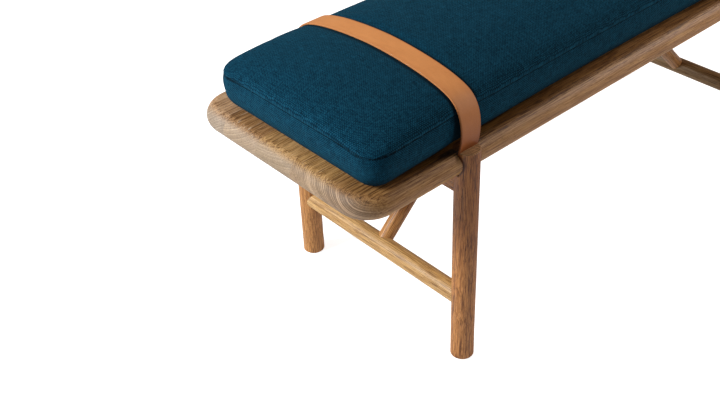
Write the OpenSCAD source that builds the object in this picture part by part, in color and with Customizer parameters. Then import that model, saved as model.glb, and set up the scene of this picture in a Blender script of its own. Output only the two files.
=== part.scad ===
// Oak bench with a rounded seat board, four round legs lapped into the board's edge,
// a crowned seat cushion and two leather straps that hold it down.
// X runs along the bench, Y across it and Z up, from the middle of the bench on the floor.

/* [Seat board] */
// Length of the seat board
seat_length = 1250; // [1000:10:1800]
// Width of the seat board
seat_width = 394; // [360:1:460]
// Height of the top of the seat board above the floor
seat_height = 400; // [370:1:480]
// Thickness of the seat board, whose edge is a full half round
seat_thickness = 40; // [34:1:50]
// Radius of the seat board's corners, seen from above
seat_corner = 52; // [40:1:90]

/* [Legs] */
// Diameter of each leg
leg_diameter = 38; // [34:1:46]
// Distance from the end of the seat board to the middle of a leg
leg_inset = 203; // [190:1:300]
// How far a leg stands out past the side of the seat board
leg_proud = 10; // [6:1:16]
// How far outside the leg's middle its lapped upper part begins
lap_offset = 2; // [0:0.5:4]
// Room round a leg's lap in its rounded notch, where the board can swell
notch_room = 1.2; // [0.2:0.1:1.6]
// Eased edge at the foot of a leg
foot_ease = 2; // [1:0.5:4]
// Eased edge at the top of a leg
top_ease = 1; // [0.5:0.5:2]

/* [Top rails] */
// Thickness of the rail under the seat board at each pair of legs
rail_thickness = 25; // [22:1:30]
// Height of that rail
rail_height = 36; // [30:1:50]
// Thickness of the rail's tenon
rail_tenon_thickness = 12; // [8:1:16]
// Height of the rail's tenon
rail_tenon_height = 24; // [14:1:26]

/* [Stretchers] */
// Diameter of the stretcher low down between each pair of legs
stretcher_diameter = 32; // [26:1:36]
// Height of the stretcher's middle above the floor
stretcher_height = 118; // [90:1:160]
// Diameter of the stretcher's round tenons
stretcher_tenon = 18; // [12:1:22]
// How far the tenons of rails and stretchers go into a leg
tenon_depth = 24; // [16:1:28]

/* [Braces] */
// Diameter of the sloping brace from each stretcher to the seat board
brace_diameter = 26; // [20:1:30]
// Slope of the brace from level
brace_angle = 44; // [38:1:54]
// Diameter of the brace's tenon in the seat board
brace_head_tenon = 16; // [10:1:18]
// Length of that tenon along the brace
brace_head_length = 22; // [14:1:24]
// Diameter of the brace's tenon in the stretcher
brace_foot_tenon = 14; // [10:1:16]
// How far that tenon goes past the middle of the stretcher
brace_foot_past = 6; // [3:1:8]

/* [Cushion] */
// Bare seat board between the end of the board and the cushion's seam
cushion_end_margin = 24; // [15:1:60]
// Bare seat board between the side of the board and the cushion's seam, with the cushion centred
cushion_side_margin = 21; // [15:1:40]
// How far the cushion sits towards +Y from the middle of the board
cushion_shift = -14; // [-14:1:14]
// Height of the cushion's top seam above the seat board
cushion_seam = 60; // [50:1:70]
// Rise of the cushion's crown above that seam
cushion_crown = 46; // [30:1:55]
// Radius of the cushion's corners at the seam
cushion_corner = 36; // [34:1:60]
// How far the long sides draw in between the corners
cushion_waist = 14; // [0:1:20]
// Length over which the crown falls to the seam at each end
cushion_end_rise = 145; // [120:1:160]
// How far the lower edge of the cushion rolls in under its side
cushion_roll_in = 30; // [15:1:32]
// How far up the side that roll reaches
cushion_roll_up = 32; // [20:1:40]
// How far the side swells out between the roll and the seam
cushion_swell = 1.5; // [0:0.5:4]
// How far the seam drops at the corners
cushion_corner_drop = 4; // [0:0.5:8]
// Thickness of the cover with the wadding quilted to it
cover_thickness = 3; // [2.5:0.5:5]
// Room between the cover and the foam
foam_clearance = 0.3; // [0.2:0.1:0.5]

/* [Cushion zip] */
// Length of the zip along the back of the cushion
zip_length = 520; // [300:10:560]
// Width of the zip's tape
zip_width = 20; // [14:1:22]
// Thickness of the zip's tape
zip_thickness = 1.2; // [0.8:0.2:1.6]
// Length of the zip's slider along the tape
slider_length = 11; // [8:1:14]
// Thickness of the slider
slider_thickness = 2.4; // [2:0.2:4]
// Length of the slider's pull
pull_length = 18; // [12:1:24]

/* [Straps] */
// Width of each strap
strap_width = 38; // [30:1:38]
// Thickness of the leather
strap_thickness = 2.8; // [2:0.1:4]
// Bow of a strap's side away from a straight line
strap_bow = 3; // [0:0.5:6]
// How much deeper the cushion lies under a strap
strap_dent = 3.5; // [0:0.5:6]
// How far the dent runs out on either side of a strap
dent_run = 50; // [30:1:60]

/* [Fixings] */
// Diameter of the dowel through lap, strap and seat board
dowel_diameter = 10; // [6:1:12]
// How far the dowel goes into the seat board
dowel_in_seat = 20; // [12:1:30]
// How far the dowel goes into the leg's lap
dowel_in_leg = 11; // [6:1:12]
// Diameter of the seat screws
screw_diameter = 5; // [4:0.5:6]
// Length of the seat screws under the head
screw_length = 50; // [40:1:54]
// Diameter of a screw's head
screw_head = 9.5; // [9:0.5:12]
// Thickness of a screw's head
screw_head_thickness = 3.2; // [2.5:0.1:4]
// Diameter of the washer under a screw's head
washer_diameter = 15; // [13:1:16]
// Thickness of that washer
washer_thickness = 1.2; // [1:0.1:2]
// Depth of the counterbore in the rail for head and washer
counterbore_depth = 10; // [8:1:14]
// Length of the slot that lets the board shrink and swell across the rail
screw_slot = 10; // [7:1:12]
// Clearance of every fit between two pieces
fit = 0.1; // [0.05:0.05:0.2]

/* [Hidden] */

$fn = 96;
stave_count = 5;
// Reach of the cutting solids past the faces that they cut
over = 5;

edge_radius = seat_thickness / 2;
stave_width = seat_width / stave_count;
underside = seat_height - seat_thickness;
leg_radius = leg_diameter / 2;
leg_x = seat_length / 2 - leg_inset;
leg_y = seat_width / 2 + leg_proud - leg_radius;
lap_y = leg_y + lap_offset;
strap_slot = strap_thickness + 2 * fit;
notch_y = lap_y - strap_slot;
rail_bottom = underside - rail_height;
tenon_end = leg_y - leg_radius + tenon_depth;
dowel_height = underside + seat_thickness / 2;
counterbore = washer_diameter + 1;
screw_top = rail_bottom + counterbore_depth;
screw_hole = screw_diameter + 0.6;
brace_rise = underside - stretcher_height;
brace_length = brace_rise / sin(brace_angle);

seat_oak = "#b8895c";
leg_oak = "#a26d42";
rail_oak = "#c19552";
cloth = "#17485c";
foam = "#e8e2cc";
leather = "#c98450";
steel = "#b9bcc0";

// Mirrors what is modelled at +X and +Y to the given end and side of the bench
module corner(end, side) {
    mirror([end < 0 ? 1 : 0, 0, 0]) mirror([0, side < 0 ? 1 : 0, 0]) children();
}

// A bar of the given diameter from one height along Y to another
module bar_y(diameter, from, to) {
    translate([0, from, 0]) rotate([-90, 0, 0]) cylinder(d = diameter, h = to - from);
}

// A bar along X, centred
module bar_x(diameter, length) {
    translate([-length / 2, 0, 0]) rotate([0, 90, 0]) cylinder(d = diameter, h = length);
}

// Outer stave at +Y: a flat slab with a half round along its side and ends and round the corners
module outer_stave() {
    inner_y = seat_width / 2 - stave_width;
    flat_x = seat_length / 2 - edge_radius;
    flat_y = seat_width / 2 - edge_radius;
    corner_x = seat_length / 2 - seat_corner;
    corner_y = seat_width / 2 - seat_corner;
    translate([-corner_x, inner_y, underside]) cube([2 * corner_x, flat_y - inner_y, seat_thickness]);
    translate([0, flat_y, underside + edge_radius]) bar_x(seat_thickness, 2 * corner_x);
    for (end = [-1, 1]) corner(end, 1) {
        translate([corner_x, inner_y, underside])
            cube([flat_x - corner_x, corner_y - inner_y, seat_thickness]);
        translate([flat_x, 0, underside + edge_radius]) bar_y(seat_thickness, inner_y, corner_y);
        translate([corner_x, corner_y, underside]) rounded_corner();
    }
}

// A quarter turn of the board's edge round one corner
module rounded_corner() {
    rim = seat_corner - edge_radius;
    rotate_extrude(angle = 90) union() {
        square([rim, seat_thickness]);
        translate([rim, edge_radius]) circle(r = edge_radius);
    }
}

// Inner stave: a plain slab from the given Y with a half round at each end
module inner_stave(from_y) {
    flat_x = seat_length / 2 - edge_radius;
    translate([-flat_x, from_y, underside]) cube([2 * flat_x, stave_width, seat_thickness]);
    for (end = [-1, 1])
        translate([end * flat_x, 0, underside + edge_radius])
            bar_y(seat_thickness, from_y, from_y + stave_width);
}

// The notches at +Y for the legs' laps and the straps' ends, with their dowel holes
module leg_notches() {
    for (end = [-1, 1]) corner(end, 1) {
        translate([leg_x - leg_radius - fit, notch_y, underside - over])
            cube([leg_diameter + 2 * fit, strap_slot + fit, seat_thickness + 2 * over]);
        intersection() {
            translate([leg_x, leg_y, underside - over])
                cylinder(r = leg_radius + notch_room, h = seat_thickness + 2 * over);
            translate([leg_x - leg_diameter, lap_y, underside - over])
                cube([2 * leg_diameter, seat_width, seat_thickness + 2 * over]);
        }
        translate([leg_x, 0, dowel_height])
            bar_y(dowel_diameter + 2 * fit, notch_y - dowel_in_seat - fit, lap_y);
    }
}

// The holes under the board for the seat screws and the braces' tenons
module underside_holes() {
    for (place = screw_places)
        translate([place.x, place.y, underside - over])
            cylinder(d = screw_diameter + 2 * fit,
                     h = over + screw_top - washer_thickness + screw_length - underside + fit);
    for (end = [-1, 1]) corner(end, 1)
        along_brace() cylinder(d = brace_head_tenon + 2 * fit, h = brace_length + brace_head_length + fit);
}

// One of the staves that are glued edge to edge into the board, counted from the front
module seat_stave(number) {
    outer = number == 0 || number == stave_count - 1;
    color(seat_oak) if (outer) corner(1, number == 0 ? -1 : 1) difference() {
        outer_stave();
        leg_notches();
    } else difference() {
        inner_stave(number * stave_width - seat_width / 2);
        underside_holes();
    }
}

// Leg: round, with a shoulder under the board and a half lap beside it
module leg(end, side) {
    color(leg_oak) corner(end, side) difference() {
        translate([leg_x, leg_y, 0]) {
            cylinder(d1 = leg_diameter - 2 * foot_ease, d2 = leg_diameter, h = foot_ease);
            translate([0, 0, foot_ease]) cylinder(d = leg_diameter, h = seat_height - foot_ease - top_ease);
            translate([0, 0, seat_height - top_ease])
                cylinder(d1 = leg_diameter, d2 = leg_diameter - 2 * top_ease, h = top_ease);
        }
        translate([leg_x - leg_diameter, lap_y - leg_diameter, underside])
            cube([2 * leg_diameter, leg_diameter, seat_thickness + over]);
        translate([leg_x, 0, stretcher_height])
            bar_y(stretcher_tenon + 2 * fit, leg_y - leg_diameter, tenon_end + fit);
        translate([leg_x, leg_y - leg_diameter, rail_bottom + rail_height / 2])
            rail_tenon(tenon_end - leg_y + leg_diameter + fit, fit);
        translate([leg_x, 0, dowel_height])
            bar_y(dowel_diameter + 2 * fit, leg_y - leg_diameter, lap_y + dowel_in_leg + fit);
    }
}

// The rail's tenon, or with some room its mortise, from its own origin along +Y
module rail_tenon(length, room = 0) {
    translate([-rail_tenon_thickness / 2 - room, 0, -rail_tenon_height / 2 - room])
        cube([rail_tenon_thickness + 2 * room, length, rail_tenon_height + 2 * room]);
}

// Rounds the ends of a rail or stretcher hollow, to sit against the legs
module between_legs() {
    difference() {
        children();
        for (side = [-1, 1])
            translate([0, side * leg_y, 0]) cylinder(r = leg_radius + fit, h = seat_height);
    }
}

// Rail under the board, from leg to leg, with counterbored slots for the seat screws
module top_rail(end) {
    middle = rail_bottom + rail_height / 2;
    color(leg_oak) translate([end * leg_x, 0, 0]) difference() {
        union() {
            between_legs() translate([-rail_thickness / 2, -leg_y, rail_bottom])
                cube([rail_thickness, 2 * leg_y, rail_height]);
            for (side = [-1, 1]) corner(1, side) translate([0, leg_y - leg_diameter, middle])
                rail_tenon(tenon_end - leg_y + leg_diameter);
        }
        for (place = screw_places) if (place.x * end > 0) {
            translate([0, place.y, rail_bottom - over]) cylinder(d = counterbore, h = over + counterbore_depth);
            screw_passage(place.y);
        }
    }
}

// The screw's way up through the rail, longer across the bench where the board can move
module screw_passage(y) {
    travel = y == 0 ? 0 : screw_slot - screw_hole;
    for (side = [-1, 1])
        translate([0, y + side * travel / 2, rail_bottom]) cylinder(d = screw_hole, h = rail_height + over);
    if (travel > 0)
        translate([-screw_hole / 2, y - travel / 2, rail_bottom])
            cube([screw_hole, travel, rail_height + over]);
}

// Stretcher: a round bar from leg to leg, bored in the middle for the brace
module stretcher(end) {
    color(rail_oak) difference() {
        translate([end * leg_x, 0, 0]) union() {
            between_legs() translate([0, 0, stretcher_height]) bar_y(stretcher_diameter, -leg_y, leg_y);
            translate([0, 0, stretcher_height]) bar_y(stretcher_tenon, -tenon_end, tenon_end);
        }
        corner(end, 1) along_brace() translate([0, 0, -brace_foot_past - fit])
            cylinder(d = brace_foot_tenon + 2 * fit, h = stretcher_diameter);
    }
}

// Turns +Z to run along the brace, from the middle of the stretcher up towards the seat
module along_brace() {
    translate([leg_x, 0, stretcher_height]) rotate([0, brace_angle - 90, 0]) children();
}

// Brace: hollowed over the stretcher, cut level under the board, with a round tenon at each end
module brace(end) {
    color(leg_oak) corner(end, 1) union() {
        difference() {
            along_brace() cylinder(d = brace_diameter, h = brace_length + brace_diameter);
            translate([leg_x, 0, stretcher_height])
                bar_y(stretcher_diameter + 2 * fit, -brace_diameter, brace_diameter);
            translate([-leg_x, -brace_diameter, underside]) cube([2 * leg_x, 2 * brace_diameter, seat_thickness]);
        }
        along_brace() translate([0, 0, -brace_foot_past])
            cylinder(d = brace_foot_tenon, h = brace_foot_past + stretcher_diameter);
        along_brace() translate([0, 0, brace_length - brace_diameter])
            cylinder(d = brace_head_tenon, h = brace_diameter + brace_head_length);
    }
}

// Dowels that pin each leg's lap and the strap's end to the board
module lap_dowels() {
    color(seat_oak) for (end = [-1, 1], side = [-1, 1]) corner(end, side)
        translate([leg_x, 0, dowel_height])
            bar_y(dowel_diameter, notch_y - dowel_in_seat, lap_y + dowel_in_leg);
}

// Where the seat screws stand: three in each rail, one to a stave
screw_places = [for (end = [-1, 1]) for (row = [-1, 0, 1]) [end * leg_x, row * stave_width]];

// Seat screws, head down in the rail, with a hexagonal drive
module seat_screws() {
    drive = screw_diameter * 0.6;
    color(steel) for (place = screw_places)
        translate([place.x, place.y, screw_top - washer_thickness]) difference() {
            union() {
                cylinder(d = screw_diameter, h = screw_length);
                translate([0, 0, -screw_head_thickness]) cylinder(d = screw_head, h = screw_head_thickness);
            }
            translate([0, 0, -screw_head_thickness - 1])
                cylinder(d = drive, h = screw_head_thickness * 0.6 + 1, $fn = 6);
        }
}

// Washers between the screw heads and the rails
module screw_washers() {
    color(steel) for (place = screw_places)
        translate([place.x, place.y, screw_top - washer_thickness]) difference() {
            cylinder(d = washer_diameter, h = washer_thickness);
            translate([0, 0, -1]) cylinder(d = screw_diameter + 2 * fit, h = washer_thickness + 2);
        }
}

// The cushion's form. It is worked out about the middle of its own base, and then moved to the seat.
half_length = seat_length / 2 - cushion_end_margin;
half_width = seat_width / 2 - cushion_side_margin;
// The two powers that shape the crown: how flat it is in the middle, and how full at the seam
crown_flat = 1.7;
crown_full = 2.65;

// Height of the crown, from 1 in the middle to 0 at the seam, where across is 1
function crown(across) = pow(max(0, 1 - pow(min(abs(across), 1), crown_flat)), 1 / crown_full);

// Fall of the crown towards an end of the cushion
function end_fall(x) = crown(max(0, (abs(x) - half_length + cushion_end_rise) / cushion_end_rise));

// 1 under a strap, falling away to 0 beside it
function pinch(x) = let (past = (abs(abs(x) - leg_x) - strap_width / 2) / dent_run)
    past <= 0 ? 1 : past >= 1 ? 0 : (1 + cos(180 * past)) / 2;

// Half the cushion's width at x, where its outline is set out by some distance
function side_at(x, out) = let (
        radius = max(1, cushion_corner + out),
        turn = min(radius, max(0, abs(x) - (half_length + out - radius))),
        waist = cushion_waist * (1 - pow(x / half_length, 2)))
    half_width + out - radius + sqrt(radius * radius - turn * turn) - waist - strap_dent / 2 * pinch(x);

// How far the seam and the side below it drop near a corner
function corner_drop(x, across, z) =
    cushion_corner_drop * pow(abs(x) / half_length, 8) * pow(abs(across), 4) * min(1, z / cushion_seam);

// A point of the cushion's side or seam, where across runs from -1 to 1
function side_point(x, across, out, z) = let (long = x * (half_length + out) / half_length)
    [long, across * side_at(long, out), z - corner_drop(x, across, z)];

// A point of the cushion's top, where the whole form is drawn in by some distance
function top_point(x, across, in) = let (
        base = side_point(x, across, -in, cushion_seam),
        rise = (cushion_crown - in) * end_fall(x) - strap_dent * pinch(x))
    [base.x, base.y, base.z + max(0, rise) * crown(across)];

// Stations along half the cushion, closer together at the strap and in the corner
dent_start = leg_x - strap_width / 2 - dent_run;
dent_end = leg_x + strap_width / 2 + dent_run / 2;
corner_start = half_length - cushion_corner;
half_stations = concat(
    [for (k = [0:2]) dent_start * k / 3],
    [dent_start, dent_start + dent_run / 2, dent_start + dent_run, dent_end - dent_run / 2],
    [for (k = [0:2]) dent_end + (corner_start - dent_end) * k / 3],
    [for (k = [0:4]) corner_start + cushion_corner * sin(22.5 * k)]);
last = len(half_stations) - 1;
stations = concat([for (k = [last:-1:1]) -half_stations[k]], half_stations);
// Stations across the cushion, closer together towards its sides
across_steps = [for (angle = [-90, -76, -58, -40, -20, 0, 20, 40, 58, 76, 90]) sin(angle)];

// Profile of the side from the seat board up, as set-out and height
function roll_point(angle, in) =
    [-in - (cushion_roll_in - in) * (1 - sin(angle)), in + (cushion_roll_up - in) * (1 - cos(angle))];
function side_profile(in) = concat([for (angle = [0:22.5:90]) roll_point(angle, in)],
    [[cushion_swell - in, (cushion_roll_up + cushion_seam) / 2]]);

// Every second value of a list for a step of 2, and all of it for a step of 1
function thinned(list, step) = [for (k = [0:step:len(list) - 1]) list[k]];

// The places along the rim of a grid of rows and columns, in a ring seen turning left from above
function rim(rows, columns) = concat(
    [for (i = [0:rows - 1]) [i, 0]], [for (j = [1:columns - 1]) [rows - 1, j]],
    [for (i = [rows - 2:-1:0]) [i, columns - 1]], [for (j = [columns - 2:-1:1]) [0, j]]);

// The points of the top, and of a ring round the side at some set-out and height. A step of 2 gives
// every second point.
function top_points(in, step) =
    [for (x = thinned(stations, step)) for (y = thinned(across_steps, step)) top_point(x, y, in)];
function side_ring(level, step) = let (xs = thinned(stations, step), ys = thinned(across_steps, step))
    [for (place = rim(len(xs), len(ys))) side_point(xs[place[0]], ys[place[1]], level[0], level[1])];

// Index lists: a grid's rim, and a ring of points that follow one another
function grid_rim(step) = let (rows = len(thinned(stations, step)), columns = len(thinned(across_steps, step)))
    [for (place = rim(rows, columns)) place[0] * columns + place[1]];
function ring_size(step) = len(grid_rim(step));
function shifted(list, start) = [for (k = list) k + start];
function ring_at(start, size) = [for (k = [0:size - 1]) start + k];

// The faces of a grid that looks up, and the same grid looking down
function grid_faces(step) = let (
        rows = len(thinned(stations, step)),
        columns = len(thinned(across_steps, step)))
    [for (i = [0:rows - 2]) for (j = [0:columns - 2]) let (a = i * columns + j, b = a + columns)
        each [[a, a + 1, b + 1], [a, b + 1, b]]];
function turned_over(faces, start) = [for (face = faces) [face[0] + start, face[2] + start, face[1] + start]];

// The faces between two rings, the first above or outside the second. One may have half the points.
function band(a, b) = let (na = len(a), nb = len(b))
    na == nb ? [for (k = [0:na - 1]) let (n = (k + 1) % na) each [[a[k], a[n], b[n]], [a[k], b[n], b[k]]]]
    : na > nb ? [for (k = [0:nb - 1]) let (n = (k + 1) % nb, m = (2 * k + 2) % na)
        each [[a[2 * k], a[2 * k + 1], b[k]], [a[2 * k + 1], a[m], b[n]], [a[2 * k + 1], b[n], b[k]]]]
    : [for (k = [0:na - 1]) let (n = (k + 1) % na, m = (2 * k + 2) % nb)
        each [[a[k], b[2 * k + 1], b[2 * k]], [a[k], a[n], b[2 * k + 1]], [a[n], b[m], b[2 * k + 1]]]];

module on_seat() {
    translate([0, cushion_shift, seat_height]) children();
}

// Top panel of the cover: the crowned top, with its inside made of fewer faces
module cushion_top_panel() {
    outside = top_points(0, 1);
    inside = top_points(cover_thickness, 2);
    start = len(outside);
    color(cloth) on_seat() polyhedron(concat(outside, inside), concat(
        grid_faces(1), band(grid_rim(1), shifted(grid_rim(2), start)), turned_over(grid_faces(2), start)));
}

// Side band of the cover: from just under the seam, rolled in underneath to the base panel
module cushion_side_band() {
    seam_gap = 0.3;
    outer = concat([[0, cushion_seam - seam_gap]], reversed(side_profile(0)));
    inner = concat(thinned(side_profile(cover_thickness), 2), [[-cover_thickness, cushion_seam - seam_gap]]);
    rings = concat([for (level = outer) side_ring(level, 1)], [for (level = inner) side_ring(level, 2)]);
    sizes = [for (ring = rings) len(ring)];
    starts = [for (k = 0, sum = 0; k < len(rings); sum = sum + sizes[k], k = k + 1) sum];
    lists = [for (k = [0:len(rings) - 1]) ring_at(starts[k], sizes[k])];
    color(cloth) on_seat() polyhedron(
        [for (ring = rings) each ring],
        [for (k = [0:len(lists) - 1]) each band(lists[k], lists[(k + 1) % len(lists)])]);
}

// Base panel of the cover: flat on the seat board, inside the band's lower edge
module cushion_base_panel() {
    color(cloth) on_seat() linear_extrude(cover_thickness)
        polygon([for (point = side_ring([-cushion_roll_in - foam_clearance, 0], 1)) [point.x, point.y]]);
}

// Foam: the whole form as one closed block, drawn in to lie inside the cover
module cushion_foam() {
    in = cover_thickness + foam_clearance;
    profile = reversed(thinned(side_profile(in), 2));
    size = ring_size(2);
    start = len(top_points(in, 2));
    rings = concat([grid_rim(2)], [for (k = [0:len(profile) - 1]) ring_at(start + k * size, size)]);
    color(foam) on_seat() polyhedron(
        concat(top_points(in, 2), [for (level = profile) each side_ring(level, 2)]),
        concat(grid_faces(2), [for (k = [0:len(profile) - 1]) each band(rings[k], rings[k + 1])],
               [rings[len(profile)]]));
}

zip_height = seat_height + (cushion_roll_up + cushion_seam) / 2;
zip_face = cushion_swell + foam_clearance;

// The line of the cushion's back at x, set out by some distance
function back_line(x, out) = [x, cushion_shift + side_at(x, out)];

// Zip tape: a flat strip that follows the curve of the cushion's back
module zip_tape() {
    line = [for (k = [0:12]) zip_length * (k / 12 - 0.5)];
    color(cloth) translate([0, 0, zip_height - zip_width / 2]) linear_extrude(zip_width)
        polygon(concat([for (x = line) back_line(x, zip_face)],
                       [for (k = [12:-1:0]) back_line(line[k], zip_face + zip_thickness)]));
}

// Slider: a tapered body on the tape with a pull that hangs down behind it
module zip_slider() {
    place = back_line(zip_length / 2 - 2 * slider_length, zip_face + zip_thickness + fit);
    color(steel) translate([place.x, place.y, zip_height]) {
        rotate([-90, 0, 0]) linear_extrude(slider_thickness)
            polygon([for (corner = [[-1, -0.3], [1, -0.5], [1, 0.5], [-1, 0.3]])
                [corner.x * slider_length / 2, corner.y * slider_length]]);
        difference() {
            translate([-slider_length / 4, slider_thickness - fit, -pull_length])
                cube([slider_length / 2, slider_thickness / 2, pull_length + slider_length / 4]);
            translate([0, 0, slider_length / 4 - pull_length]) bar_y(slider_length / 4, 0, slider_thickness * 2);
        }
    }
}

// The strap's line, in Y and Z, from the slot at one leg over the cushion to the slot at the other
strap_gap = 0.3;
strap_middle = lap_y - strap_slot / 2;
strap_tail = underside + fit;
strap_offset = strap_gap + strap_thickness / 2;
// Where across the cushion the strap meets its shoulder
shoulder = 0.955;
// How much more the strap bows on the side that the cushion has been pushed towards
bow_per_shift = 0.36;
shoulder_handle = 25;
slot_handle = 28;

// The cushion's section under the strap, and the strap's middle line above it
function section(across) = let (half = side_at(leg_x, 0))
    [cushion_shift + across * half,
     seat_height + cushion_seam + (cushion_crown * end_fall(leg_x) - strap_dent) * crown(across)];
function unit(v) = v / norm(v);
function slope(across) = unit(section(across + 0.001) - section(across - 0.001));
function over_cushion(across) = section(across) + strap_offset * [-slope(across).y, slope(across).x];

function curve(p, t) = pow(1 - t, 3) * p[0] + 3 * pow(1 - t, 2) * t * p[1]
    + 3 * (1 - t) * t * t * p[2] + pow(t, 3) * p[3];

// The strap's side from its slot up to the cushion's shoulder
function flank(side, t) = let (
        foot = [side * strap_middle, seat_height],
        bow = strap_bow + bow_per_shift * side * cushion_shift,
        head = over_cushion(side * shoulder))
    curve([foot, foot + [side * bow, slot_handle], head + side * shoulder_handle * slope(side * shoulder), head], t);

strap_line = concat(
    [[-strap_middle, strap_tail]],
    [for (k = [0:9]) flank(-1, k / 10)],
    [for (k = [-14:14]) over_cushion(shoulder * sin(k * 90 / 14))],
    [for (k = [9:-1:0]) flank(1, k / 10)],
    [[strap_middle, strap_tail]]);

// A line of points moved sideways by some distance
function beside(line, distance) = [for (k = [0:len(line) - 1]) let (
        along = unit(line[min(k + 1, len(line) - 1)] - line[max(k - 1, 0)]))
    line[k] + distance * [-along.y, along.x]];
function reversed(list) = [for (k = [len(list) - 1:-1:0]) list[k]];

// Strap: one leather strip with a hole near each end for the dowel
module strap(end) {
    color(leather) translate([end * leg_x, 0, 0]) difference() {
        translate([-strap_width / 2, 0, 0]) rotate([90, 0, 90]) linear_extrude(strap_width)
            polygon(concat(beside(strap_line, strap_thickness / 2),
                           reversed(beside(strap_line, -strap_thickness / 2))));
        translate([0, 0, dowel_height]) bar_y(dowel_diameter + 2 * fit, -seat_width, seat_width);
    }
}

seat_stave(0);  // seat_stave_front
seat_stave(1);  // seat_stave_front_inner
seat_stave(2);  // seat_stave_middle
seat_stave(3);  // seat_stave_back_inner
seat_stave(4);  // seat_stave_back
leg(-1, -1);  // leg_front_left
leg(1, -1);  // leg_front_right
leg(-1, 1);  // leg_back_left
leg(1, 1);  // leg_back_right
top_rail(-1);  // top_rail_left
top_rail(1);  // top_rail_right
stretcher(-1);  // stretcher_left
stretcher(1);  // stretcher_right
brace(-1);  // brace_left
brace(1);  // brace_right
lap_dowels();
seat_screws();
screw_washers();
cushion_top_panel();
cushion_side_band();
cushion_base_panel();
cushion_foam();
zip_tape();
zip_slider();
strap(-1);  // strap_left
strap(1);  // strap_right
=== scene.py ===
"""Dresses the bench's CAD frame: oak with growth rings, a stuffed cushion, leather straps and a zip."""

import math

import bpy
from mathutils import Euler, Matrix, Vector


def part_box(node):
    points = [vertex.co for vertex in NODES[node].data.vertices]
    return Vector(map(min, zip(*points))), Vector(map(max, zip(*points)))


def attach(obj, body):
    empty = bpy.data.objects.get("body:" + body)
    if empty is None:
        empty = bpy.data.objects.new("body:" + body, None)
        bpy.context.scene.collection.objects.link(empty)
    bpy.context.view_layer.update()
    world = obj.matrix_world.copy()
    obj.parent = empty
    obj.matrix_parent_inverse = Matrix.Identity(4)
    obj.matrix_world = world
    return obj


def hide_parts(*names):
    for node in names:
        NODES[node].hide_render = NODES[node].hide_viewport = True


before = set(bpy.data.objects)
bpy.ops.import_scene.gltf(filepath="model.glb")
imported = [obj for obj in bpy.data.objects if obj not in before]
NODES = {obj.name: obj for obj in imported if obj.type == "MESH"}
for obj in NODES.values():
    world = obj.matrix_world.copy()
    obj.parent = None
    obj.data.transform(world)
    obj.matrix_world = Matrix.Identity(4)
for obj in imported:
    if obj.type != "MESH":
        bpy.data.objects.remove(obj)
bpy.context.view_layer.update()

bl_info = {
    "name": "Bench with a strapped-on cushion",
    "version": (1, 0, 0),
    "blender": (4, 5, 0),
    "location": "3D View > Sidebar > Bench",
    "description": "Oak, cloth, leather and steel, and the cushion, straps and zip of a low bench",
    "category": "Object",
}

MM = 0.001
BODY = "root"

# Places on the CAD part, from its boxes or as in its source
SEAT_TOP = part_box("seat_stave_middle")[1].z
STRAP_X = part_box("strap_right")[0].x / 2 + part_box("strap_right")[1].x / 2
ZIP_Z = (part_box("zip_tape")[0].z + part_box("zip_tape")[1].z) / 2
ZIP_WIDTH = 20 * MM
SLOT_Y = 188.5 * MM
CUSHION_Y = -14 * MM
# A leg's middle, either way from the bench's middle
LEG_X = 0.422
LEG_Y = 0.188
# The middle of the board's half-round edge
EDGE_AT = (0, 0.177, 0.380)
# The middle of the front wood's darker heart, from its pith
HEART_AT = (0, 0.055, -0.088)

# The cushion's form, as in the part's source
HALF_LENGTH = 601 * MM
HALF_WIDTH = 176 * MM
SEAM_HEIGHT = 60 * MM
CORNER = 36 * MM
WAIST = 14 * MM
END_RISE = 145 * MM
ROLL_IN = 30 * MM
ROLL_UP = 32 * MM
SWELL = 1.5 * MM
CORNER_DROP = 4 * MM
DENT_RUN = 50 * MM
SIDE_DENT = 1.75 * MM
STRAP_EDGE_RUN = 5 * MM
CROWN_FLAT = 1.7
CROWN_FULL = 2.65
# The crown's height over the seam after the puff, and the base's over the seat
FULL_CROWN = 46 * MM
BASE_LIFT = 0.2 * MM
# The room between a strap's edge and its dent
STRAP_GAP = 0.5 * MM
# How far beside the seam it draws the cloth in, how deep in millimetres, and its two lengths of pucker
SEAM_REACH = 1.8 * MM
SEAM_DEPTH = 0.7
PUCKERS = (9 * MM, 23 * MM)
# How long the cloth is simulated, in frames
PUFF_FRAMES = 20

# The strap's middle line: its height over the cloth, and where it leaves the top, in parts of half its width
STRAP_LIFT = 1.7 * MM
STRAP_LEAVES = 0.955

# The zip's pitches, the room that its rows leave at the ends, and places from its middle or its ends
TOOTH_PITCH = 2.6 * MM
TEETH_ROOM = 14 * MM
STITCH_PITCH = 3.5 * MM
STITCH_ROOM = 6 * MM
STITCH_Z = 7.6 * MM
STOP_FROM_END = 4.5 * MM
SLIDER_FROM_END = 22 * MM

# How far above the lower end of the screws' box the washers lie
WASHER_RISE = 3.2 * MM

FOAM_COLOUR = (0.80, 0.74, 0.52)

# The studio's camera, as solved from the photograph
LENS = 52.1
SENSOR = 36
CAMERA_AT = (-1.32078, -1.01223, 1.21876)
HEADING, PITCH, ROLL = 0.70174, 0.642527, -0.047362
LIGHTS_AIM = (-0.1, 0, 0.35)


def shade(red, green, blue):
    """A colour as a screen shows it, 0 to 255, turned into the linear values that a shader takes."""
    return tuple(
        c / 12.92 if c <= 0.04045 else ((c + 0.055) / 1.055) ** 2.4
        for c in (red / 255, green / 255, blue / 255)
    )


def assign(thing, /, **values):
    """Sets several values of a thing by their names."""
    for name, value in values.items():
        setattr(thing, name, value)
    return thing


# ---- the add-on's settings


def length_setting(name, description, default, low, high):
    """A length that a user may change, given here in millimetres."""
    default, low, high = default * MM, low * MM, high * MM
    return bpy.props.FloatProperty(
        name=name, description=description, default=default, min=low, max=high, unit="LENGTH"
    )


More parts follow.
